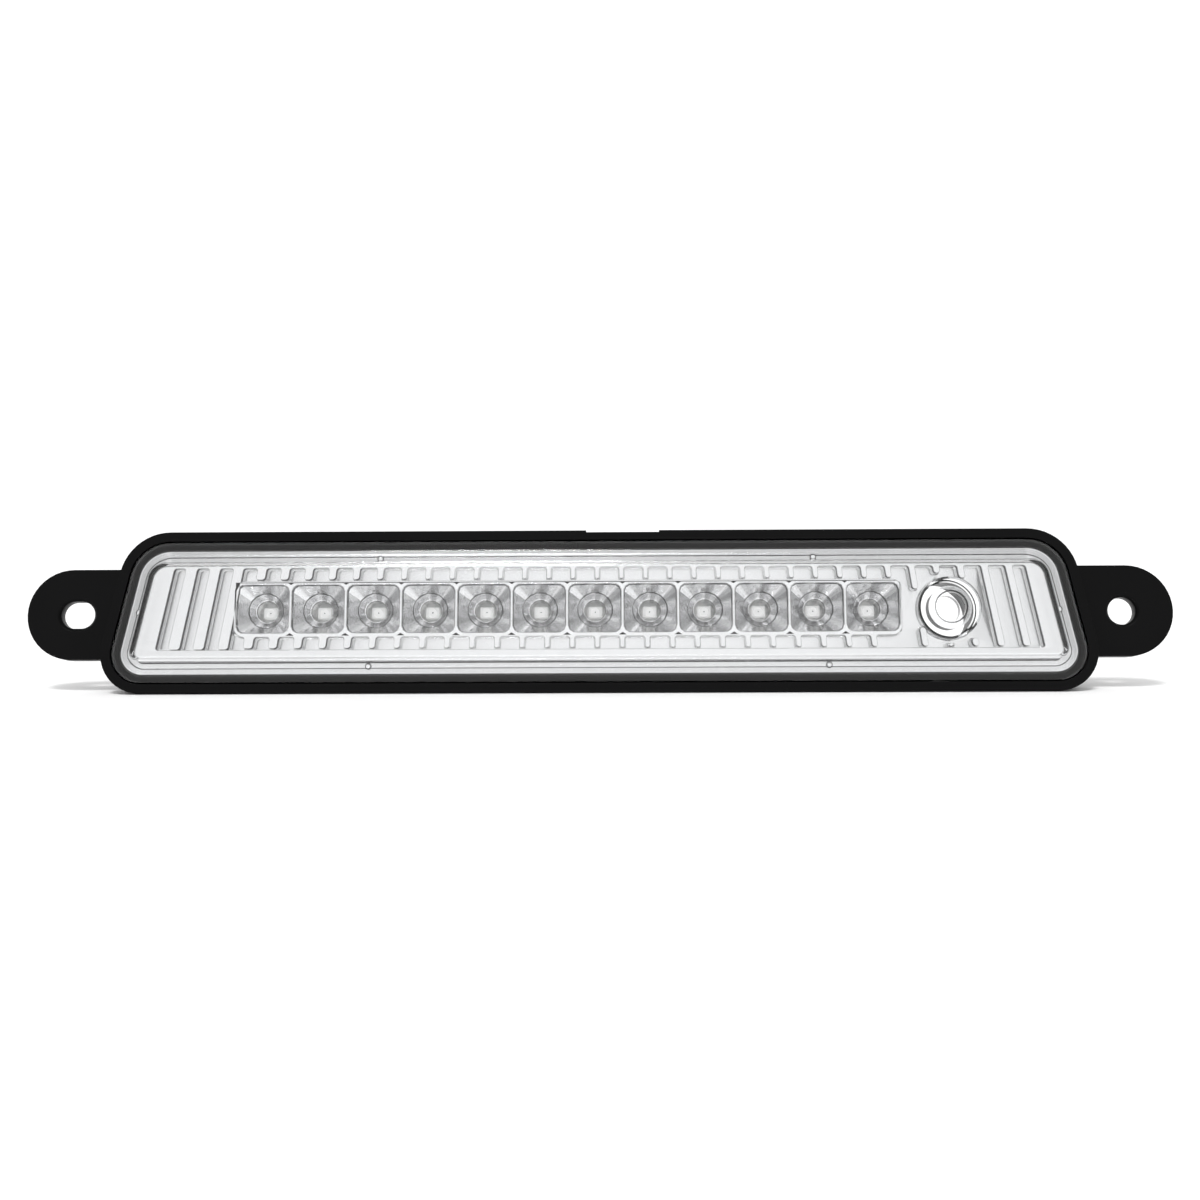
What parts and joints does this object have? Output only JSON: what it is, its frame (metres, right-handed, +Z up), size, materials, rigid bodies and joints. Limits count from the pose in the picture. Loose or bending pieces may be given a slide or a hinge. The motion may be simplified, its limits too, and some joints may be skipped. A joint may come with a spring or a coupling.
{
  "type": "third brake light",
  "caption": "Clear-lens high-level brake light with a row of reflector-cell LEDs, fluted metallised bezel, washer port and two fixing ears.",
  "frame": {"origin": "midway between the two ear holes, on the plane of the ears' rear faces, which is the plane of the vehicle mount", "axes": "+X along the lamp to its washer-port end, +Z up, the lens faces -Y and the connector leaves along +Y"},
  "size_m": [0.2836, 0.0325, 0.04],
  "materials": {
    "housing_black": "moulded black plastic, fine satin grain",
    "lens_clear": "clear moulded plastic, polished",
    "sealant": "black sealing bead",
    "foam": "black closed-cell foam",
    "metallised": "moulded plastic with a bright vacuum-metallised film",
    "board": "white solder mask on glass-epoxy board",
    "led_body": "white moulded package with clear filling",
    "resistor_body": "black glazed chip on ceramic",
    "header_black": "black moulded plastic",
    "capacitor_body": "fired tan ceramic",
    "terminal_metal": "tin-plated brass",
    "screw_steel": "zinc-plated steel",
    "seal_rubber": "black moulded rubber",
    "membrane": "white woven membrane"
  },
  "bodies": {
    "root": {"rear_housing": "housing_black", "lens": "lens_clear", "lens_sealant": "sealant", "mounting_gasket": "foam", "bezel": "metallised", "led_reflector": "metallised", "circuit_board": "board", "led_01": "led_body", "led_02": "led_body", "led_03": "led_body", "led_04": "led_body", "led_05": "led_body", "led_06": "led_body", "led_07": "led_body", "led_08": "led_body", "led_09": "led_body", "led_10": "led_body", "led_11": "led_body", "led_12": "led_body", "resistor_1": "resistor_body", "resistor_2": "resistor_body", "resistor_3": "resistor_body", "resistor_4": "resistor_body", "reverse_diode": "header_black", "capacitor": "capacitor_body", "terminal_supply": "terminal_metal", "terminal_ground": "terminal_metal", "blade_header": "header_black", "board_screws": "screw_steel", "port_seal": "seal_rubber", "vent_membrane": "membrane", "vent_cap": "header_black"}
  },
  "joints": []
}
